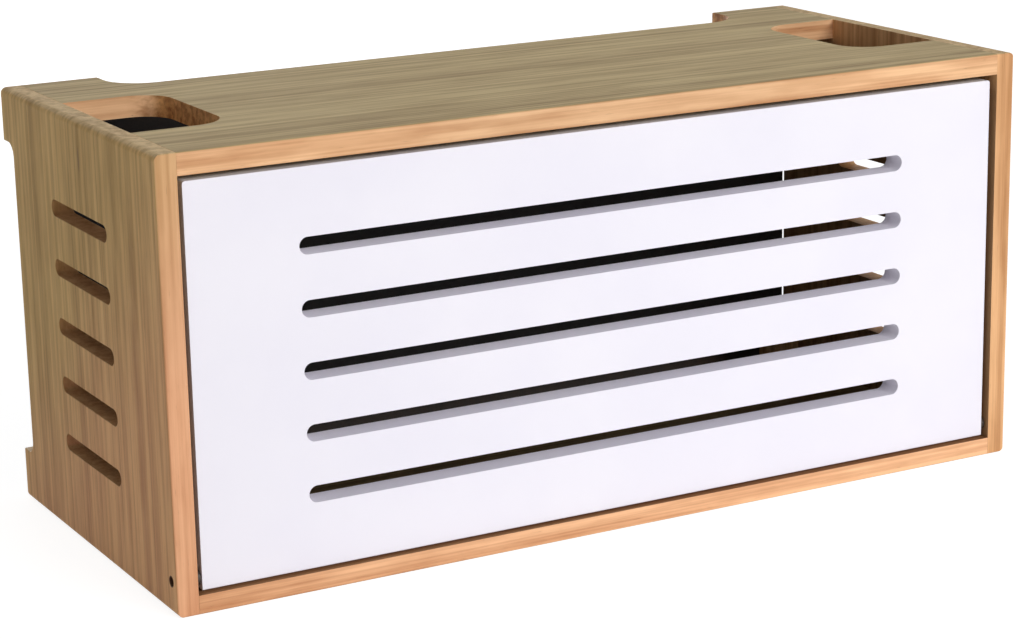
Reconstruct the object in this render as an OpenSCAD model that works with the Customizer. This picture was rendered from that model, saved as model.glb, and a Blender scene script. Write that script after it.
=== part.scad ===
// Router storage box: a wooden carcass with a slotted white flap in front.
// Origin: centre of the footprint, on the surface the box stands on.
// X runs along the width, the front faces -Y, +Z is up. Millimetres.

/* [Carcass] */
// Overall width
box_w = 400; // [320:5:480]
// Overall depth, front edge to the back ears
box_d = 175; // [160:5:220]
// Overall height
box_h = 182; // [176:1:240]
// Thickness of the four carcass boards
board_t = 9; // [8.5:0.5:12]
// Radius of the sanded edges around the front and the back
edge_r = 0.8; // [0.4:0.1:2]
// Radius of the four long edges that run from front to back
corner_r = 3; // [0.5:0.25:5]

/* [Back notches] */
// Width of the ears left beside the top and bottom notch, from the outer side face
top_ear_w = 43; // [34:1:60]
// Depth of the notch in the top and bottom boards
top_notch_d = 27; // [10:1:40]
// Radius of the inner corners of that notch
top_notch_r = 18; // [2:1:30]
// Height of the ears left above and below the side notch
side_ear_h = 22.5; // [18:0.5:40]
// Depth of the notch in the side boards
side_notch_d = 12; // [6:0.5:20]
// Radius of the inner corners of that notch
side_notch_r = 6; // [1:0.5:12]

/* [Antenna openings] */
// Width of each opening, from the inner face of the side board
port_w = 42; // [30:1:60]
// Length of each opening, front to back
port_l = 77; // [44:1:88]
// Distance from the front of the box to the opening
port_front = 46; // [36:1:58]
// Radius of the two inner corners of each opening
port_r = 15; // [4:1:20]

/* [Vent slots] */
// Number of slots in the flap and in each side board
slot_count = 5; // [3:2:5]
// Distance between the middles of two slots
slot_pitch = 25; // [16:0.5:25]
// Height of the slots in the side boards
side_slot_h = 7; // [5:0.5:9]
// Length of the slots in the side boards
side_slot_l = 63; // [40:1:80]
// Distance from the front of the box to the slots in the side boards
side_slot_front = 55; // [40:1:65]
// Height of the slots in the flap
flap_slot_h = 7; // [5:0.5:9]
// Length of the slots in the flap
flap_slot_l = 284; // [120:1:300]
// How far the flap's middle slot lies below the middle of the box
flap_slot_drop = 1.6; // [0:0.1:2]

/* [Flap] */
// Thickness of the flap
flap_t = 11; // [8:0.5:12]
// How far the flap's face lies behind the front edges of the carcass
flap_recess = 1.9; // [1.5:0.1:3]
// Radius of the flap's four corners
flap_corner_r = 1.2; // [0.5:0.1:2]
// Gap between the flap and each side board
flap_side_gap = 2.4; // [1.2:0.1:3]
// Gap between the flap and the top board
flap_top_gap = 2.6; // [1:0.1:3]
// Depth of the step in the bottom board that the flap's lower edge stands over
sill_drop = 1.2; // [0.5:0.1:1.2]
// Gap between the back of the flap and the back of that step
sill_gap = 1.5; // [0.8:0.1:3]
// Gap between the flap and the step
flap_bottom_gap = 0.5; // [0.4:0.1:1.5]
// Gap that the flap's rounded lower edge keeps to the step as it turns
flap_sweep_gap = 0.35; // [0.3:0.05:0.6]

/* [Pivot] */
// Distance from the flap's face back to the pivot axis, under half the flap's thickness
pivot_set = 3.3; // [3.2:0.1:4]
// Height of the pivot axis over the step in the bottom board
pivot_rise = 6; // [4.8:0.1:6.4]
// Diameter of the pivot pins
pin_d = 4; // [2:0.5:4.5]
// Depth of the pin's outer end below the side board's face
pin_recess = 2.5; // [0.5:0.25:3]
// Length of the pin inside the flap
pin_grip = 16; // [8:1:30]
// Length of the flap's bores past the ends of the pins
pin_end_gap = 0.5; // [0.2:0.1:1]
// Radial running clearance of the pins
pin_play = 0.05; // [0.02:0.01:0.1]
// Outer diameter of the spacing washers
washer_d = 6; // [5.5:0.5:7]
// Play of a washer on each of its faces
washer_play = 0.2; // [0.1:0.05:0.4]

/* [Dowels] */
// Diameter of the dowels
dowel_d = 5; // [3:0.5:5.5]
// Length of the dowels
dowel_l = 20; // [14:1:30]
// Depth of the dowels in the side boards
dowel_in_side = 5.5; // [4:0.5:6]
// Distance from the board ends and the openings to the nearest dowel
dowel_margin = 12; // [8:0.5:14]
// Clearance around the dowels, and at each of their ends
dowel_play = 0.05; // [0.02:0.01:0.1]

/* [Back panel] */
// Thickness of the back panel
back_t = 3; // [2:0.5:4]
// Gap between the side notch and the front of the back panel
back_set = 0.3; // [0.2:0.1:2]
// Clearance around the back panel
back_play = 0.5; // [0.3:0.1:0.8]
// Edge of the square corner blocks
block_s = 14; // [11:0.5:16]
// Length of the corner blocks, front to back
block_l = 14; // [12:1:24]

/* [Screws] */
// Shank diameter of every screw
screw_d = 3; // [2.5:0.1:3.5]
// Head diameter of every screw
screw_head_d = 6; // [5:0.25:6.5]
// Length of the back panel's screws
back_screw_l = 12; // [9:1:14]
// Length of the strike plate's screws
strike_screw_l = 7; // [5:0.5:8]
// Length of the catch's screws under their heads
catch_screw_l = 8; // [6:0.5:9]
// Radial clearance of a screw in its hole
screw_play = 0.1; // [0.05:0.05:0.3]
// Height of the round heads of the catch's screws
pan_h = 2; // [1.5:0.1:2.5]
// Width of the blades of the cross recess in the heads
recess_w = 0.9; // [0.6:0.1:1.2]
// Span of the cross recess
recess_span = 3.6; // [2.5:0.1:4]
// Depth of the cross recess
recess_depth = 1.2; // [0.6:0.1:1.4]

/* [Magnetic catch] */
// Width of the catch's mounting flange
flange_w = 52; // [48:1:70]
// Thickness of the catch's mounting flange
flange_t = 2.5; // [2:0.25:3.5]
// Radius of the flange's corners
flange_r = 3; // [1:0.5:5]
// Width of the catch's body
catch_w = 30; // [27:1:34]
// Depth of the catch's body
catch_d = 14; // [12:0.5:20]
// Height of the catch's body with its flange
catch_h = 12.5; // [11.5:0.5:16]
// Width of the magnet and its pole plates
magnet_w = 24; // [16:1:25]
// Height of the magnet
magnet_h = 4.5; // [3:0.25:5]
// Depth of the magnet
magnet_d = 9; // [6:0.5:10]
// Thickness of each pole plate
pole_t = 1.2; // [0.8:0.1:1.5]
// How far the pole plates stand out of the catch's body
pole_out = 1; // [0.5:0.1:2]
// Clearance around the magnet and its pole plates
magnet_play = 0.1; // [0.05:0.05:0.2]
// Gap between the strike plate and the pole plates when the flap is shut
catch_gap = 0.3; // [0.3:0.05:0.6]
// Width of the strike plate
strike_w = 40; // [36:1:60]
// Height of the strike plate
strike_h = 12; // [10:0.5:14]
// Radius of the strike plate's corners
strike_r = 2; // [1:0.5:4]
// Thickness of the strike plate
strike_t = 1.5; // [1.5:0.25:2]
// Distance from the strike plate to the flap's upper edge
strike_drop = 1.25; // [1:0.25:3]

/* [Hidden] */
$fn = 64;
// Length by which every cutting shape runs past the face that it cuts
cut = 1;

// Planes of the carcass
front_y = -box_d / 2;
rear_y = box_d / 2;
inner_x = box_w / 2 - board_t;
floor_z = board_t;
ceiling_z = box_h - board_t;
middle_z = box_h / 2;

// Places of the flap and its pivot
flap_w = 2 * (inner_x - flap_side_gap);
sill_z = floor_z - sill_drop;
flap_z0 = sill_z + flap_bottom_gap;
flap_z1 = ceiling_z - flap_top_gap;
flap_y0 = front_y + flap_recess;
flap_y1 = flap_y0 + flap_t;
sill_y1 = flap_y1 + sill_gap;
flap_middle_z = (flap_z0 + flap_z1) / 2;
flap_middle_y = (flap_y0 + flap_y1) / 2;
pivot_y = flap_y0 + pivot_set;
pivot_z = sill_z + pivot_rise;
sweep_r = pivot_rise - flap_sweep_gap;

// Height of the flap's middle slot, and the heights of the vent slots over or under the middle one
flap_slot_z = middle_z - flap_slot_drop;
slot_steps = [for (i = [0 : slot_count - 1]) (i - (slot_count - 1) / 2) * slot_pitch];

// Places of the back panel and its corner blocks
back_y0 = rear_y - side_notch_d + back_set;
back_y1 = back_y0 + back_t;
block_x = inner_x - block_s / 2;
block_z = [floor_z + block_s / 2, ceiling_z - block_s / 2];

// Places of the dowels along the depth, and their reach into the top and bottom boards
port_rear = port_front + port_l;
dowel_ys = [
  front_y + dowel_margin, front_y + port_front - dowel_margin,
  front_y + port_rear + dowel_margin, rear_y - dowel_margin
];
dowel_in_board = dowel_l - dowel_in_side;
dowel_zs = [board_t / 2, box_h - board_t / 2];

// Places of the strike plate and the catch
strike_y1 = flap_y1 + strike_t;
strike_z = flap_z1 - strike_drop - strike_h / 2;
strike_screw_x = strike_w / 2 - screw_head_d;
catch_y0 = strike_y1 + catch_gap + pole_out;
flange_screw_x = (catch_w + flange_w) / 4;
flange_screw_y = catch_y0 + catch_d / 2;
pocket_h = magnet_h + 2 * pole_t + 2 * magnet_play;
pocket_z = ceiling_z - flange_t - (catch_h - flange_t) / 2;
pole_d = magnet_d + pole_out;
head_h = (screw_head_d - screw_d) / 2;

// Square with four round corners
module rounded(size, r) {
  difference() {
    square(size, center = true);
    for (mx = [0, 1], my = [0, 1])
      mirror([mx, 0]) mirror([0, my]) translate(size / 2 - [r, r]) corner_waste(r);
  }
}

// What is cut away to round a corner that points towards +x and +y, about the middle of its arc
module corner_waste(r) {
  difference() {
    square(r + cut);
    circle(r);
  }
}

// Slot with two half-round ends
module stadium(l, h) {
  square([l - h, h], center = true);
  for (s = [-1, 1]) translate([s * (l - h) / 2, 0]) circle(d = h);
}

// Turns a flat outline so that it is extruded along X, with its own x along Y and its y along Z
module along_x(l) {
  rotate([90, 0, 90]) linear_extrude(l, center = true) children();
}

// Turns a flat outline so that it is extruded along Y, with its own x along X and its y along Z
module along_y(l) {
  rotate([90, 0, 0]) linear_extrude(l, center = true) children();
}

// Outer shape of the whole box, with every outer edge sanded round
module envelope() {
  intersection() {
    linear_extrude(box_h) rounded([box_w, box_d], edge_r);
    translate([0, 0, middle_z]) along_x(box_w) rounded([box_d, box_h], edge_r);
    translate([0, 0, middle_z]) along_y(box_d) rounded([box_w, box_h], corner_r);
  }
}

// Round rod along X from x0 to x1
module rod_x(x0, x1, y, z, d) {
  translate([min(x0, x1), y, z]) rotate([0, 90, 0]) cylinder(h = abs(x1 - x0), d = d);
}

// Cross recess of a screw head, open towards +Z
module cross_recess() {
  for (a = [0, 90])
    rotate(a) translate([0, 0, (cut - recess_depth) / 2])
      cube([recess_span, recess_w, recess_depth + cut], center = true);
}

// Countersunk screw along -Z, its flat head's face at z = 0
module flat_screw(l) {
  difference() {
    rotate_extrude()
      polygon([[0, 0], [screw_head_d / 2, 0], [screw_d / 2, -head_h], [screw_d / 2, -l + screw_d / 2],
               [0, -l]]);
    cross_recess();
  }
}

// Room for a countersunk screw
module flat_screw_hole(l) {
  translate([0, 0, -l - screw_play]) cylinder(h = l + screw_play, d = screw_d + 2 * screw_play);
  translate([0, 0, -head_h])
    cylinder(h = head_h, d1 = screw_d + 2 * screw_play, d2 = screw_head_d + 2 * screw_play);
  cylinder(h = cut, d = screw_head_d + 2 * screw_play);
}

// Screw with a round head below z = 0 and its shank along +Z
module pan_screw(l) {
  difference() {
    union() {
      cylinder(h = l, d = screw_d);
      translate([0, 0, -pan_h]) cylinder(h = pan_h, d = screw_head_d);
    }
    translate([0, 0, -pan_h]) mirror([0, 0, 1]) cross_recess();
  }
}

// The dowels of one joint: side is -1 or 1, level 0 is the bottom board, 1 the top board
module dowel_set(side, level, d, l_side, l_board) {
  for (y = dowel_ys)
    rod_x(side * (inner_x - l_board), side * (inner_x + l_side), y, dowel_zs[level], d);
}

module dowel_holes(side, level) {
  dowel_set(side, level, dowel_d + 2 * dowel_play, dowel_in_side + dowel_play, dowel_in_board + dowel_play);
}

module dowels(side, level) {
  color("tan") dowel_set(side, level, dowel_d, dowel_in_side, dowel_in_board);
}

module side_panel(side) {
  color("peru") difference() {
    intersection() {
      envelope();
      translate([side * (inner_x + board_t / 2), 0, middle_z])
        cube([board_t, box_d + cut, box_h + cut], center = true);
    }
    translate([side * (inner_x + board_t / 2), rear_y, middle_z]) along_x(board_t + 2 * cut)
      rounded([2 * side_notch_d, box_h - 2 * side_ear_h], min(side_notch_r, side_notch_d));
    for (s = slot_steps)
      translate([side * (inner_x + board_t / 2), front_y + side_slot_front + side_slot_l / 2, middle_z + s])
        along_x(board_t + 2 * cut) stadium(side_slot_l, side_slot_h);
    rod_x(side * (inner_x - cut), side * (box_w / 2 + cut), pivot_y, pivot_z, pin_d + 2 * pin_play);
    for (level = [0, 1]) dowel_holes(side, level);
  }
}

// Board between the sides with the wide cable notch in its back edge
module cross_board(z0, level) {
  difference() {
    intersection() {
      envelope();
      translate([0, 0, z0 + board_t / 2]) cube([2 * inner_x, box_d + cut, board_t], center = true);
    }
    translate([0, rear_y, z0 - cut]) linear_extrude(board_t + 2 * cut)
      rounded([box_w - 2 * top_ear_w, 2 * top_notch_d], min(top_notch_r, top_notch_d));
    for (side = [-1, 1]) dowel_holes(side, level);
  }
}

module top_panel() {
  color("burlywood") difference() {
    cross_board(ceiling_z, 1);
    for (side = [-1, 1])
      translate([side * inner_x, front_y + port_front + port_l / 2, ceiling_z - cut])
        linear_extrude(board_t + 2 * cut) rounded([2 * port_w, port_l], port_r);
    for (side = [-1, 1])
      translate([side * flange_screw_x, flange_screw_y, ceiling_z - cut])
        cylinder(h = catch_screw_l - flange_t + cut + screw_play, d = screw_d + 2 * screw_play);
  }
}

module bottom_panel() {
  color("burlywood") difference() {
    cross_board(0, 0);
    translate([0, (front_y - cut + sill_y1) / 2, sill_z + box_h / 2])
      cube([box_w, sill_y1 - front_y + cut, box_h], center = true);
  }
}

// Puts what points along +Z at the back panel's four screws, pointing backwards
module at_back_screws() {
  for (sx = [-1, 1], z = block_z)
    translate([sx * block_x, back_y1, z]) rotate([-90, 0, 0]) children();
}

module back_panel() {
  color([0.06, 0.06, 0.06]) difference() {
    translate([0, (back_y0 + back_y1) / 2, middle_z])
      cube([2 * (inner_x - back_play), back_t, ceiling_z - floor_z - 2 * back_play], center = true);
    at_back_screws() flat_screw_hole(back_screw_l);
  }
}

module back_panel_screws() {
  color("dimgray") at_back_screws() flat_screw(back_screw_l);
}

module corner_block(side, level) {
  color("tan") difference() {
    translate([side * block_x, back_y0 - block_l / 2, block_z[level]])
      cube([block_s, block_l, block_s], center = true);
    at_back_screws() flat_screw_hole(back_screw_l);
  }
}

// Puts what points along +Z at the strike plate's screws, pointing backwards
module at_strike_screws() {
  for (sx = [-1, 1])
    translate([sx * strike_screw_x, strike_y1, strike_z]) rotate([-90, 0, 0]) children();
}

module front_flap() {
  color([0.93, 0.92, 0.96]) difference() {
    translate([0, flap_middle_y, flap_middle_z]) along_y(flap_t)
      rounded([flap_w, flap_z1 - flap_z0], flap_corner_r);
    translate([0, pivot_y, pivot_z]) along_x(flap_w + cut) rotate(180) corner_waste(sweep_r);
    for (s = slot_steps)
      translate([0, flap_middle_y, flap_slot_z + s]) along_y(flap_t + 2 * cut)
        stadium(flap_slot_l, flap_slot_h);
    for (side = [-1, 1])
      rod_x(side * (flap_w / 2 - pin_grip - pin_end_gap), side * (flap_w / 2 + cut), pivot_y, pivot_z,
            pin_d + 2 * pin_play);
    at_strike_screws() flat_screw_hole(strike_screw_l);
  }
}

module pivot_pin(side) {
  color("gray")
    rod_x(side * (flap_w / 2 - pin_grip), side * (box_w / 2 - pin_recess), pivot_y, pivot_z, pin_d);
}

module pivot_washer(side) {
  color([0.1, 0.1, 0.1]) difference() {
    rod_x(side * (flap_w / 2 + washer_play), side * (inner_x - washer_play), pivot_y, pivot_z, washer_d);
    rod_x(side * (flap_w / 2 - cut), side * (inner_x + cut), pivot_y, pivot_z, pin_d + 2 * pin_play);
  }
}

module catch_housing() {
  color([0.15, 0.15, 0.15]) difference() {
    union() {
      translate([0, catch_y0 + catch_d / 2, ceiling_z - catch_h / 2])
        cube([catch_w, catch_d, catch_h], center = true);
      translate([0, catch_y0 + catch_d / 2, ceiling_z - flange_t]) linear_extrude(flange_t)
        rounded([flange_w, catch_d], flange_r);
    }
    translate([0, catch_y0 + magnet_d / 2, pocket_z])
      cube([magnet_w + 2 * magnet_play, magnet_d + 2 * magnet_play, pocket_h], center = true);
    translate([0, catch_y0, pocket_z]) cube([magnet_w + 2 * magnet_play, cut, pocket_h], center = true);
    for (side = [-1, 1])
      translate([side * flange_screw_x, flange_screw_y, ceiling_z - flange_t - cut])
        cylinder(h = flange_t + 2 * cut, d = screw_d + 2 * screw_play);
  }
}

module catch_magnet() {
  color([0.25, 0.25, 0.27]) translate([0, catch_y0 + magnet_d / 2, pocket_z])
    cube([magnet_w, magnet_d, magnet_h], center = true);
}

module catch_pole_plates() {
  color("silver") for (s = [-1, 1])
    translate([0, catch_y0 - pole_out + pole_d / 2, pocket_z + s * (magnet_h + pole_t) / 2])
      cube([magnet_w, pole_d, pole_t], center = true);
}

module catch_screws() {
  color("silver") for (side = [-1, 1])
    translate([side * flange_screw_x, flange_screw_y, ceiling_z - flange_t]) pan_screw(catch_screw_l);
}

module strike_plate() {
  color("silver") difference() {
    translate([0, flap_y1 + strike_t / 2, strike_z]) along_y(strike_t)
      rounded([strike_w, strike_h], strike_r);
    at_strike_screws() flat_screw_hole(strike_screw_l);
  }
}

module strike_screws() {
  color("gray") at_strike_screws() flat_screw(strike_screw_l);
}

side_panel(-1);  // left_side_panel
side_panel(1);  // right_side_panel
top_panel();
bottom_panel();
back_panel();
front_flap();
pivot_pin(-1);  // left_pivot_pin
pivot_pin(1);  // right_pivot_pin
pivot_washer(-1);  // left_pivot_washer
pivot_washer(1);  // right_pivot_washer
dowels(-1, 1);  // top_left_dowels
dowels(1, 1);  // top_right_dowels
dowels(-1, 0);  // bottom_left_dowels
dowels(1, 0);  // bottom_right_dowels
corner_block(-1, 1);  // upper_left_corner_block
corner_block(1, 1);  // upper_right_corner_block
corner_block(-1, 0);  // lower_left_corner_block
corner_block(1, 0);  // lower_right_corner_block
back_panel_screws();
catch_housing();
catch_magnet();
catch_pole_plates();
catch_screws();
strike_plate();
strike_screws();
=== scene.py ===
# %% [markdown]
# # A router storage box
# The box is made of four thin wooden boards, a black back panel and a white slotted flap that
# drops open on two pins. Its solids come in as a fixed frame, at their real size, and nothing here
# moves them. This lesson eases the edges of each board, gives every surface its finish, and lights
# the box.

# %% Load the frame
import math

import bmesh
import bpy
from mathutils import Matrix, Quaternion, Vector


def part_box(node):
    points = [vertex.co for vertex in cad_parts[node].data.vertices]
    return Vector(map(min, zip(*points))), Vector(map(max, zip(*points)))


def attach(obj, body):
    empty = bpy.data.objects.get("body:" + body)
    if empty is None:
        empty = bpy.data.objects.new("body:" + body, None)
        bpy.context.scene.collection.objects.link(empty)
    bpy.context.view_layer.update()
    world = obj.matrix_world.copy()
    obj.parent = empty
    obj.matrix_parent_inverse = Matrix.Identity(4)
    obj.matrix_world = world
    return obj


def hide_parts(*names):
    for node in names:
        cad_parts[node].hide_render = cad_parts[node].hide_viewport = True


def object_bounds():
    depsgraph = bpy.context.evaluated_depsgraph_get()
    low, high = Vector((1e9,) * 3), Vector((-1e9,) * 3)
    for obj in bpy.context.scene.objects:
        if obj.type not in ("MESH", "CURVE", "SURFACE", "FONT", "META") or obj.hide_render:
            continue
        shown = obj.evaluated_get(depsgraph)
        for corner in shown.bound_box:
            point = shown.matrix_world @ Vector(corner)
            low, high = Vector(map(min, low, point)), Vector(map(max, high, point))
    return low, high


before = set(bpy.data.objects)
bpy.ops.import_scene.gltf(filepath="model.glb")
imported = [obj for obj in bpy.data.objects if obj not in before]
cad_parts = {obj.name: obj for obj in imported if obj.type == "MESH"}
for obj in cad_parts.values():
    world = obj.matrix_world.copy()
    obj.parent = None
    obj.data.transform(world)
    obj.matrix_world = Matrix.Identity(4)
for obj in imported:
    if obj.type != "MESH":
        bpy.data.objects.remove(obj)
cad_low, cad_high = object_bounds()
BOX_MIDDLE = (cad_low + cad_high) / 2
print("CAD box in mm:", [round(1000 * side, 1) for side in cad_high - cad_low])

# %% [markdown]
# ## Eased edges
# No board leaves the workshop with a knife edge: each cut is broken with fine paper, and that tiny
# round is what catches the light. A Bevel modifier could do it, but the frame's solids are loose
# triangles, so it would round every triangle. Here a copy is merged, its flat faces are joined up
# again, and only the edges that turn sharply are bevelled. Where two boards meet, the two rounds
# leave the hairline of a joint.

# %% Ease a copy of a solid
MM = 0.001
MERGE = 0.002 * MM
COPLANAR = math.radians(0.2)
SHARP = math.radians(35)


def add_piece(name, bm, body, nodes):
    """Makes an object of a bmesh, rides it on a body and lets it stand for its CAD nodes."""
    for face in bm.faces:
        face.smooth = True
    mesh = bpy.data.meshes.new(name)
    bm.to_mesh(mesh)
    bm.free()
    piece = bpy.data.objects.new(name, mesh)
    bpy.context.scene.collection.objects.link(piece)
    flats = piece.modifiers.new("keep flat faces flat", "WEIGHTED_NORMAL")
    flats.weight = 100
    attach(piece, body)
    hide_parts(*nodes)
    print(f"{name}: {len(mesh.polygons)} faces on {body}")
    return piece


def eased_copy(node, ease, body, steps=2):
    """Copies a CAD node and rounds its cut edges to a radius."""
    bm = bmesh.new()
    bm.from_mesh(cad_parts[node].data)
    bmesh.ops.remove_doubles(bm, verts=bm.verts, dist=MERGE)
    bmesh.ops.dissolve_limit(bm, angle_limit=COPLANAR, verts=bm.verts, edges=bm.edges)
    cuts = [edge for edge in bm.edges if edge.calc_face_angle(0.0) > SHARP]
    bmesh.ops.bevel(bm, geom=cuts, offset=ease, offset_type="OFFSET", affect="EDGES",
                    segments=steps, profile=0.5, clamp_overlap=True, material=-1)
    return add_piece(f"{node}_eased", bm, body, [node])


# %% [markdown]
# ## Shader maths as expressions
# A finish is a chain of small sums on a pattern, and in the node editor each sum is a node.
# Writing them as Python keeps the thought in one line. The class wraps one socket, and an operator
# on it adds the Math node. Every other node, such as noise or a mix of two colours, comes from its
# one general method.

# %% A socket that does sums
class Wire:
    """One output socket in a node tree."""

    def __init__(self, socket):
        self.socket = socket
        self.tree = socket.id_data

    def make(self, kind, inputs=(), out=0, **settings):
        """Adds a node: first its settings, then its inputs, each a Wire or a plain value."""
        node = self.tree.nodes.new(kind)
        for name, value in settings.items():
            setattr(node, name, value)
        for key, value in dict(inputs).items():
            if isinstance(value, Wire):
                self.tree.links.new(value.socket, node.inputs[key])
            else:
                node.inputs[key].default_value = value
        return Wire(node.outputs[out])

    def output(self, name):
        """Another output of the same node."""
        return Wire(self.socket.node.outputs[name])

    def math(self, operation, *values):
        """A Math node; the commonest operations have an operator below."""
        return self.make("ShaderNodeMath", enumerate(values), operation=operation)

    def __add__(self, other):
        return self.math("ADD", self, other)

    def __sub__(self, other):
        return self.math("SUBTRACT", self, other)

    def __rsub__(self, other):
        return self.math("SUBTRACT", other, self)

    def __mul__(self, other):
        return self.math("MULTIPLY", self, other)

    def __truediv__(self, other):
        return self.math("DIVIDE", self, other)

    def __pow__(self, power):
        return self.math("POWER", self, power)

    __radd__, __rmul__ = __add__, __mul__

    def between(self, low, high):
        """0 below low, 1 above high, and a smooth step from one to the other."""
        return self.make("ShaderNodeMapRange", {"Value": self, "From Min": low, "From Max": high},
                         interpolation_type="SMOOTHSTEP")

    def blend(self, first, second):
        """The first colour where this is 0, the second where it is 1."""
        return self.make("ShaderNodeMix", {0: self, 6: first, 7: second}, out=2, data_type="RGBA")

    def feed(self, node, name):
        """Links this to an input of a shader or of an output node."""
        self.tree.links.new(self.socket, node.inputs[name])


# %% Start a material, and read a pattern off it
def tone(red, green, blue):
    """A colour written as 0 to 255, as the eye knows it, in the linear light that shaders use."""
    channels = [value / 255 for value in (red, green, blue)]
    return (*[c / 12.92 if c <= 0.04045 else ((c + 0.055) / 1.055) ** 2.4 for c in channels], 1.0)


def new_finish(name, **constants):
    """A material, its shader with the sockets that stay the same all over, and its coordinates."""
    material = bpy.data.materials.new(name)
    material.use_nodes = True
    shader = material.node_tree.nodes["Principled BSDF"]
    for socket, value in constants.items():
        shader.inputs[socket.replace("_", " ")].default_value = value
    return material, shader, Wire(shader.outputs[0]).make("ShaderNodeTexCoord", out="Object")


def noise(place, lump, detail=2.0, stretch=(1, 1, 1)):
    """Noise with lumps of that width, drawn out by the stretch along each axis."""
    scale = [1 / (lump * longer) for longer in stretch]
    spot = place.make("ShaderNodeMapping", {"Vector": place, "Scale": scale})
    return place.make("ShaderNodeTexNoise", {"Vector": spot, "Scale": 1.0, "Detail": detail})


def emboss(shader, height, depth):
    """Feeds a height to the shader as a bump, where a step of 1 is as high as the depth."""
    height.make("ShaderNodeBump", {"Height": height, "Distance": depth}).feed(shader, "Normal")


# %% [markdown]
# ## Wood
# The boards are one pale, straight-grained wood, oiled to a soft satin. Grain is a solid thing:
# growth rings round a heart far off the board, cut by the board's faces. So the rings are drawn
# round a line in space, and the same maths gives long lines on the wide faces and short marks on
# the ends. Fibres and pores are noise drawn out along the grain. Each face takes its tones from
# the axis that it looks along, and these tones are painted light: the top is painted greyer and
# the sides browner than the front edges, as the light falls on them. The faces that look into the
# box carry painted shade, so that little shows through the slots, and the shade thins out towards
# the openings in the top. Painted shade also darkens the walls of the side slots, the step under
# the flap and the wood round the pin holes.

# %% Grain
RING = 3.6 * MM
LATE_WOOD, LINES, STRIPS, FLAMES, FIBRES = 0.32, 0.52, 0.3, 0.36, 0.46
PALENESS = 0.47


def streaks(place, along, width, length, detail=2.0):
    """Noise of a width, drawn out to a length along the grain."""
    return noise(place, width, detail, [length / width if axis == along else 1 for axis in "XYZ"])


def grain(place, axes, along, heart):
    """Radius from the heart, late wood, fibres, pores, and the figure of light and dark."""
    across = [axes.output(axis) for axis in "XYZ" if axis != along]
    radius = ((across[0] - heart[0]) ** 2 + (across[1] - heart[1]) ** 2) ** 0.5
    sway = streaks(place, along, 45 * MM, 700 * MM)
    wobble = streaks(place, along, 4 * MM, 160 * MM)
    ring = (radius / RING + 9 * sway + 0.5 * wobble).math("FRACT")
    late_wood = ring.between(0.35, 0.95) * (1 - ring.between(0.95, 1.0))
    lines = streaks(place, along, 2.8 * MM, 260 * MM).between(0.34, 0.66)
    strips = streaks(place, along, 22 * MM, 700 * MM).between(0.34, 0.66)
    flames = streaks(place, along, 5 * MM, 38 * MM, 3.0).between(0.3, 0.7)
    fibres = streaks(place, along, 0.7 * MM, 45 * MM, 3.0)
    pores = streaks(place, along, 0.35 * MM, 9 * MM).between(0.66, 0.78)
    rough_figure = LATE_WOOD * late_wood + LINES * lines + STRIPS * strips + FLAMES * flames
    return radius, late_wood, fibres, pores, rough_figure + FIBRES * fibres - PALENESS


# %% Where a face lies and looks
FACING = 0.45, 0.85
INWARD = -70 * MM, -30 * MM


def reach(axes, region):
    """The squared distance from a region's middle, 1 on its ellipse."""
    off = [((axes.output(axis) - middle) / half) ** 2 for axis, middle, half in zip("XYZ", *region)]
    return off[0] + off[1] + off[2]


def looks(normal, axis):
    """1 on the faces that look along an axis, either way."""
    return normal.math("ABSOLUTE", normal.output(axis)).between(*FACING)


def looks_in(axes, normal, axis):
    """1 on the faces that look along an axis to the middle of the box, 0 on all others."""
    off_middle = axes.output(axis) - BOX_MIDDLE["XYZ".index(axis)]
    return 1 - (off_middle * normal.output(axis)).between(*INWARD)


# Painted light: each face's tones follow the axis that it looks along, as light falls on it.
def face_tones(normal, tones):
    """The light and the dark tone on each face, by the axis that it looks along."""
    light, dark = tones["X"]
    for axis in "YZ":
        facing = looks(normal, axis)
        light, dark = facing.blend(light, tones[axis][0]), facing.blend(dark, tones[axis][1])
    return light, dark


# %% The wood finish
ROSY, YELLOW, SAP_SHARE = tone(226, 152, 110), tone(178, 148, 62), 0.38
PORE = 0.4, tone(96, 68, 42)
# The next three are painted shade: on the inside faces, on the cut walls and round the pin holes.
PAINTED_INNER_SHADE = 0.6, tone(62, 36, 20)
PAINTED_CUT_SHADE = 0.4, tone(160, 84, 44)
PAINTED_HOLE_SHADE = 0.9, tone(62, 34, 24)
STREAK = tone(112, 80, 54)
INNER_SHADE_ENDS = 162 * MM, 178 * MM
SHADED, PAINTED_LIGHT_RISE = 0.16, 0.55
WOOD_RELIEF = 0.06 * MM


def tint(mask, colour, share, shade):
    """The colour, turned by a share to another shade where the mask is 1."""
    return (share * mask).blend(colour, shade)


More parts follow.
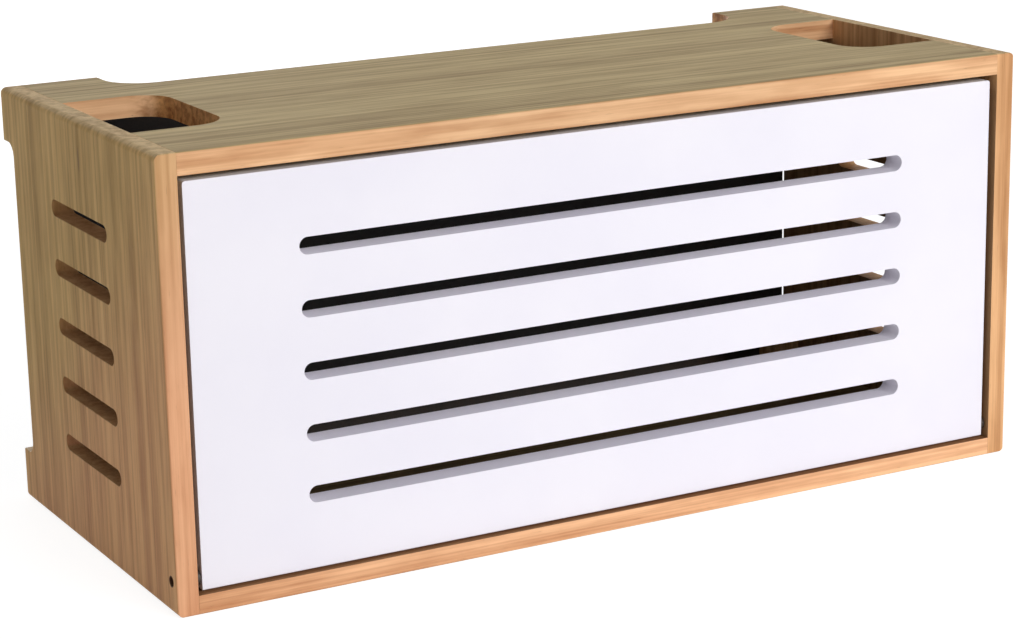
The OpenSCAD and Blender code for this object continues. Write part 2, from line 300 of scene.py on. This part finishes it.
def wood(name, along, tones, heart, inside=None, sapwood=None, bleach=None, slots=None,
         hole=None, marks=()):
    """along is the grain's axis, and heart the rings' centre across it.

    tones are a (light, dark) pair for each axis that a face can look along, which paints the
    light on each face, and sapwood the radii between which the wood turns from rosy to yellow.
    bleach is the stretch along the grain over which painted light makes the front
    edge paler, and inside the axis along which a face looks into the box and takes painted
    shade. slots and hole are the middle and half size of the cuts darkened by painted shade, and
    marks those of the darker streaks, each with its strength.
    """
    material, shader, place = new_finish(name, Specular_IOR_Level=0.2)
    axes = place.make("ShaderNodeSeparateXYZ", {0: place})
    normal = place.make("ShaderNodeSeparateXYZ", {0: place.output("Normal")})
    radius, late_wood, fibres, pores, figure = grain(place, axes, along, heart)
    # Painted light: the front edges are painted darker, and paler towards one end along the grain.
    if bleach:
        light_rise = PAINTED_LIGHT_RISE * axes.output(along).between(*bleach)
        figure = figure + looks(normal, "Y") * (SHADED - light_rise)
    figure = figure.math("MINIMUM", figure.math("MAXIMUM", figure, 0.0), 1.0)
    colour = figure.blend(*face_tones(normal, tones))
    if sapwood:
        drift = 0.1 * streaks(place, along, 90 * MM, 300 * MM)
        yellow = (radius + 1.2 * axes.output(along) + drift).between(*sapwood)
        share = SAP_SHARE - SAP_SHARE * looks(normal, "Z")
        colour = tint(yellow, tint(1 - yellow, colour, share, ROSY), share, YELLOW)
    colour = tint(pores, colour, *PORE)
    # Painted shade: faces that look into the box are darkened, less so near the top openings.
    if inside:
        thinned = 1 - axes.output("Z").between(*INNER_SHADE_ENDS)
        colour = tint(looks_in(axes, normal, inside) * thinned, colour, *PAINTED_INNER_SHADE)
    # Painted shade on the walls of the cuts that look along Z.
    if slots:
        cut_shade = looks(normal, "Z") * (1 - reach(axes, slots).between(0.98, 1.0))
        colour = tint(cut_shade, colour, *PAINTED_CUT_SHADE)
    # Painted shade round the pin holes.
    if hole:
        colour = tint(1 - reach(axes, hole).between(0.9, 1.0), colour, *PAINTED_HOLE_SHADE)
    for region, strength in marks:
        streak = 1 - (reach(axes, region) + 0.8 * (fibres - 0.5)).between(0.1, 1.0)
        colour = tint(streak, colour, strength, STREAK)
    colour.feed(shader, "Base Color")
    (0.5 + 0.16 * fibres + 0.12 * pores).feed(shader, "Roughness")
    emboss(shader, fibres * 0.5 - pores - 0.2 * late_wood, WOOD_RELIEF)
    print(f"{name}: grain along {along}")
    return material


# %% [markdown]
# ## The four boards
# Two sides run the full height, and the top and bottom sit between them. All the slots, openings
# and notches are already cut in the solids, so each board only needs its edges eased and its wood.
# The boards came from four planks, so their edges differ a little. Painted light makes the sides
# browner and the top greyer than the front edges, and paints the lower front edge darker at its
# left end and paler towards its right. A mineral streak marks the left side. The upper front edge
# is darker along its middle, and the left front edge along its upper half.

# %% Make the boards
BOARD_EASE = 0.35 * MM
# Painted light: by facing axis, the sides take browner tones and the tops greyer ones than the
# front edges.
BROWN = tone(252, 207, 141), tone(154, 108, 57)
EVEN_BROWN = tone(240, 190, 136), tone(180, 130, 82)
REDDER = tone(248, 188, 124), tone(166, 106, 58)
PAINTED_TOP_LIGHT = tone(216, 193, 142), tone(156, 129, 83)
PALE_ENDS = tone(232, 201, 149), tone(176, 142, 94)
SIDE_HEART = 0.0, -0.36
SIDE_SLOTS = (0, 0, 91 * MM), (1, 62 * MM, 78 * MM)
FLAP_STEP = (0, -81 * MM, 8 * MM), (1, 9 * MM, 3 * MM)
pin_low, pin_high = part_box("left_pivot_pin")
PIN_HOLE = (pin_low + pin_high) / 2, (1, 2.4 * MM, 2.4 * MM)
LEFT, FRONT = -200 * MM, -87.5 * MM
MINERAL = (LEFT, -5.1 * MM, 166.5 * MM), (2 * MM, 0.9 * MM, 7 * MM)
DARK_POST = (LEFT, FRONT, 150 * MM), (1, 2 * MM, 75 * MM)
DARK_RAIL = (0, FRONT, 177 * MM), (130 * MM, 2 * MM, 1)


def make_board(node, slot, along, inside, side, edge, heart, **traits):
    """side and edge are the tones of the faces that look along X and along Y."""
    board = eased_copy(node, BOARD_EASE, "carcass")
    tones = {"X": side, "Y": edge, "Z": PAINTED_TOP_LIGHT if along == "X" else PALE_ENDS}
    board.data.materials.append(wood(f"{node}_wood", along, tones, heart, inside, **traits))


make_board("left_side_panel", "side_wood", "Z", "X", BROWN,
           (tone(246, 195, 151), tone(176, 115, 73)), SIDE_HEART, sapwood=(0.50, 0.64),
           slots=SIDE_SLOTS, hole=PIN_HOLE, marks=[(MINERAL, 0.7), (DARK_POST, 0.1)])
make_board("right_side_panel", "side_wood", "Z", "X", EVEN_BROWN,
           (tone(243, 189, 137), tone(178, 122, 75)), SIDE_HEART, slots=SIDE_SLOTS, hole=PIN_HOLE)
make_board("top_panel", "top_wood", "X", "Z", REDDER,
           (tone(254, 206, 158), tone(194, 134, 88)), (-0.3, 0.0), marks=[(DARK_RAIL, 0.14)])
make_board("bottom_panel", "top_wood", "X", "Z", REDDER,
           (tone(255, 201, 154), tone(194, 132, 89)), (0.3, 0.1), bleach=(-0.15, 0.2),
           slots=FLAP_STEP)

# %% [markdown]
# ## The white flap
# The flap is a board sprayed with white satin lacquer. Sprayed lacquer is never quite flat: it
# dries with a faint orange peel, and it pools a little softer on the edges. So the white gets a
# very low bump, a trace of cloudiness in its colour, and a larger edge round than bare wood.

# %% Lacquer and flap
FLAP_EASE = 0.45 * MM
LACQUER, CLOUDED = tone(246, 243, 251), tone(242, 239, 249)


def lacquer(name):
    material, shader, place = new_finish(name, Specular_IOR_Level=0.3)
    cloud = noise(place, 70 * MM, 3.0)
    peel = noise(place, 1.6 * MM, 1.0)
    cloud.between(0.3, 0.7).blend(LACQUER, CLOUDED).feed(shader, "Base Color")
    (0.42 + 0.1 * cloud + 0.05 * peel).feed(shader, "Roughness")
    emboss(shader, peel, 0.015 * MM)
    return material


flap = eased_copy("front_flap", FLAP_EASE, "flap", steps=3)
flap.data.materials.append(lacquer("satin_white"))

# %% [markdown]
# ## The black back panel
# The back is thin hardboard, painted black. Under paint its felted fibres still show as short
# curled hairs and specks. A picture of felt could be wrapped round it, but a fine noise gives the
# bump and the roughness, and together with a broad one it leaves the black a little uneven.

# %% Hardboard
BACK_EASE = 0.25 * MM


def hardboard(name):
    material, shader, place = new_finish(name)
    felt = noise(place, 1.1 * MM, 4.0)
    cloud = noise(place, 30 * MM, 2.0)
    uneven = (0.6 * felt + 0.4 * cloud).between(0.3, 0.7)
    uneven.blend(tone(40, 40, 41), tone(56, 55, 55)).feed(shader, "Base Color")
    (0.5 + 0.25 * felt).feed(shader, "Roughness")
    emboss(shader, felt, 0.08 * MM)
    return material


back = eased_copy("back_panel", BACK_EASE, "carcass")
back.data.materials.append(hardboard("painted_hardboard"))

# %% [markdown]
# ## Corner blocks and dowels
# What holds the box together is a paler softwood. The grain of the blocks is upright, and that of
# the dowels inside the joints runs along the width. The wood finish takes both, with other tones.
# The dowels keep the shape of their solids, because nobody sees their edges.

# %% Inner wood
BLOCK_EASE = 0.4 * MM
PINE = dict.fromkeys("XYZ", (tone(226, 190, 140), tone(188, 144, 94)))
block_wood = wood("sawn_pine", "Z", PINE, (0.0, 0.3))
dowel_wood = wood("dowel_pine", "X", PINE, (0.3, 0.05))
for level in ("upper", "lower"):
    for side in ("left", "right"):
        block = eased_copy(f"{level}_{side}_corner_block", BLOCK_EASE, "carcass")
        block.data.materials.append(block_wood)


def dress(node, material):
    """Gives a CAD node that keeps its own shape a better finish."""
    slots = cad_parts[node].data.materials
    slots.clear()
    slots.append(material)
    print(f"{node}: {material.name}")


for level in ("top", "bottom"):
    for side in ("left", "right"):
        dress(f"{level}_{side}_dowels", dowel_wood)

# %% [markdown]
# ## Pivot pins
# Each pin is a short length of blackened steel rod pushed in from the side. Its outer end sits a
# little below the wood, and both its ends are chamfered. A cylinder along X with its rims bevelled
# is the whole of it.

# %% Steel and pins
def steel(name, light, dark, roughness):
    """Metal with fine scratches; light and dark are its two tones."""
    material, shader, place = new_finish(name, Metallic=1.0)
    scratches = noise(place, 0.25 * MM, 2.0, (1, 8, 1))
    stain = noise(place, 6 * MM, 2.0)
    (0.5 * scratches + 0.5 * stain).between(0.3, 0.7).blend(light, dark).feed(shader, "Base Color")
    (roughness + 0.2 * scratches).feed(shader, "Roughness")
    emboss(shader, scratches, 0.01 * MM)
    return material


bright_steel = steel("plated_steel", tone(196, 196, 194), tone(160, 160, 160), 0.22)
black_steel = steel("blackened_steel", tone(58, 57, 56), tone(40, 40, 40), 0.34)
PIN_CHAMFER, PIN_SIDES = 0.5 * MM, 48


def pivot_pin(side):
    node = f"{side}_pivot_pin"
    low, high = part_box(node)
    centre, size = (low + high) / 2, high - low
    bm = bmesh.new()
    lying = Matrix.Translation(centre) @ Matrix.Rotation(math.pi / 2, 4, "Y")
    bmesh.ops.create_cone(bm, cap_ends=True, segments=PIN_SIDES, radius1=size.y / 2,
                          radius2=size.y / 2, depth=size.x, matrix=lying)
    rims = [edge for edge in bm.edges if edge.calc_face_angle(0.0) > SHARP]
    bmesh.ops.bevel(bm, geom=rims, offset=PIN_CHAMFER, offset_type="OFFSET", affect="EDGES",
                    segments=3, profile=0.5, clamp_overlap=True, material=-1)
    pin = add_piece(f"{side}_pin_turned", bm, "carcass", [node])
    pin.data.materials.append(black_steel)


for side in ("left", "right"):
    pivot_pin(side)

# %% [markdown]
# ## Catch, washers and screws
# Inside, a small moulded catch under the top holds the flap's steel plate with a magnet. Moulded
# nylon, a brown-black one here, has a dull spark-eroded grain, and a ferrite magnet is dark grey
# and chalky. The screws are plated, and those of the back are black. They are hardly seen until
# the flap is open, but a part seen from all sides needs them finished.

# %% Nylon and ferrite
def nylon(name):
    material, shader, place = new_finish(name)
    pitting = noise(place, 0.4 * MM, 2.0)
    cloud = noise(place, 9 * MM).between(0.3, 0.7)
    cloud.blend(tone(50, 38, 30), tone(58, 45, 36)).feed(shader, "Base Color")
    (0.42 + 0.2 * pitting).feed(shader, "Roughness")
    emboss(shader, pitting, 0.03 * MM)
    return material


def ferrite(name):
    material, shader, place = new_finish(name)
    speck = noise(place, 0.5 * MM, 3.0)
    speck.between(0.4, 0.7).blend(tone(52, 52, 54), tone(78, 77, 76)).feed(shader, "Base Color")
    (0.6 + 0.2 * speck).feed(shader, "Roughness")
    emboss(shader, speck, 0.04 * MM)
    return material


# %% Small parts
MOULDING_EASE, PLATE_EASE = 0.25 * MM, 0.2 * MM
black_nylon = nylon("moulded_nylon")
for node in ("left_pivot_washer", "right_pivot_washer", "catch_housing"):
    moulding = eased_copy(node, MOULDING_EASE, "carcass")
    moulding.data.materials.append(black_nylon)
plate = eased_copy("strike_plate", PLATE_EASE, "flap")
plate.data.materials.append(bright_steel)
for node, finish in [("catch_magnet", ferrite("ferrite_grey")), ("catch_pole_plates", bright_steel),
                     ("catch_screws", bright_steel), ("strike_screws", bright_steel),
                     ("back_panel_screws", black_steel)]:
    dress(node, finish)

# %% [markdown]
# ## Floor and backdrop
# The box stands on a plain white sweep. What the camera sees directly of the floor and of the
# world is paper white, while the light that they throw on the box stays moderate. Light Path tells
# the two apart: camera, glossy and transmitted rays see the white, all others see the working
# light.

# %% World
FILL = 0.265
WHITE = (1.0, 1.0, 1.0, 1.0)


def seen_directly(wire):
    """1 for the rays that see the paper, 0 for those that light the box."""
    rays = wire.make("ShaderNodeLightPath")
    mirrored = rays.output("Is Glossy Ray") + rays.output("Is Transmission Ray")
    seen = rays.output("Is Camera Ray") + mirrored
    return seen.math("MINIMUM", seen, 1.0)


world = bpy.data.worlds.new("studio")
bpy.context.scene.world = world
world.use_nodes = True
room = world.node_tree
background = room.nodes["Background"]
background.inputs["Color"].default_value = WHITE
background.inputs["Strength"].default_value = FILL
fill = Wire(background.outputs[0])
paper = fill.make("ShaderNodeBackground", {"Color": WHITE, "Strength": 1.0})
backdrop = fill.make("ShaderNodeMixShader", {0: seen_directly(fill), 1: fill, 2: paper})
backdrop.feed(room.nodes["World Output"], "Surface")
print("fill light:", FILL)

# %% Floor
PAPER_SHARE, PAPER_GLOW = 0.6, 1.46
FLOOR_REACH, FLOOR_DROP = 6.0, 0.1 * MM
bm = bmesh.new()
bmesh.ops.create_grid(bm, x_segments=1, y_segments=1, size=FLOOR_REACH,
                      matrix=Matrix.Translation((0, 0, -FLOOR_DROP)))
floor_mesh = bpy.data.meshes.new("floor")
bm.to_mesh(floor_mesh)
bm.free()
floor = bpy.data.objects.new("floor", floor_mesh)
bpy.context.scene.collection.objects.link(floor)
floor_paint, floor_shader, floor_place = new_finish("floor_paint", Roughness=0.9)
floor_cloud = noise(floor_place, 0.4).between(0.3, 0.7)
floor_cloud.blend(tone(240, 240, 240), tone(244, 244, 244)).feed(floor_shader, "Base Color")
matt = Wire(floor_shader.outputs[0])
glow = matt.make("ShaderNodeEmission", {"Color": WHITE, "Strength": PAPER_GLOW})
paper_seen = seen_directly(matt) * PAPER_SHARE
lit_paper = matt.make("ShaderNodeMixShader", {0: paper_seen, 1: matt, 2: glow})
lit_paper.feed(floor_paint.node_tree.nodes["Material Output"], "Surface")
floor_mesh.materials.append(floor_paint)
print("floor side in m:", round(floor.dimensions.x, 2))

# %% [markdown]
# ## Light
# One broad window of light stands in front of the box, high and a little to its right, so the flap
# and the front edges are brightest and the left side falls into half shade. Two weak ones, behind
# it and to its right, keep those sides readable, and stand no higher than the box so that the top
# is left alone. A low strip in front of the box lifts the flap's lower edge, as a white table
# does.

# %% Lamps
def window(name, place, aim, width, height, watts):
    lamp = bpy.data.lights.new(name, "AREA")
    lamp.shape, lamp.size, lamp.size_y, lamp.energy = "RECTANGLE", width, height, watts
    lit = bpy.data.objects.new(name, lamp)
    lit.location = place
    lit.rotation_euler = (Vector(aim) - Vector(place)).to_track_quat("-Z", "Y").to_euler()
    bpy.context.scene.collection.objects.link(lit)
    print(f"{name}: {watts} W")


window("front_window", (0.8, -2.9, 1.35), BOX_MIDDLE, 2.0, 0.7, 58)
window("behind", (0.2, 1.7, 0.13), BOX_MIDDLE, 1.0, 0.24, 11)
window("right_side", (1.9, 0.35, 0.13), BOX_MIDDLE, 0.6, 0.24, 8)
window("low_card", (0.12, -0.4, 0.015), (0.05, -0.085, 0.03), 0.8, 0.03, 0.2)

# %% [markdown]
# ## Camera
# The box is seen from the left and a little above, through a long lens, so that it fills the
# frame. The focal length is easiest to think of in pixels of the picture, and the sensor turns it
# into millimetres.

# %% Camera
FRAME_WIDTH = 1017
FOCAL_PIXELS = 2736
YAW, PITCH, ROLL = math.radians(28.41), math.radians(14.83), math.radians(-1.19)
EYE = Vector((-0.5568, -1.0192, 0.3786))
lens = bpy.data.cameras.new("camera")
lens.lens = FOCAL_PIXELS * lens.sensor_width / FRAME_WIDTH
camera = bpy.data.objects.new("camera", lens)
level = math.cos(PITCH)
forward = Vector((math.sin(YAW) * level, math.cos(YAW) * level, -math.sin(PITCH)))
camera.rotation_mode = "QUATERNION"
camera.rotation_quaternion = forward.to_track_quat("-Z", "Y") @ Quaternion((0, 0, 1), ROLL)
camera.location = EYE
bpy.context.scene.collection.objects.link(camera)
bpy.context.scene.camera = camera
bpy.context.scene.view_settings.view_transform = "Standard"
print("lens in mm:", round(lens.lens, 1))

# %% Finish
bpy.context.view_layer.update()
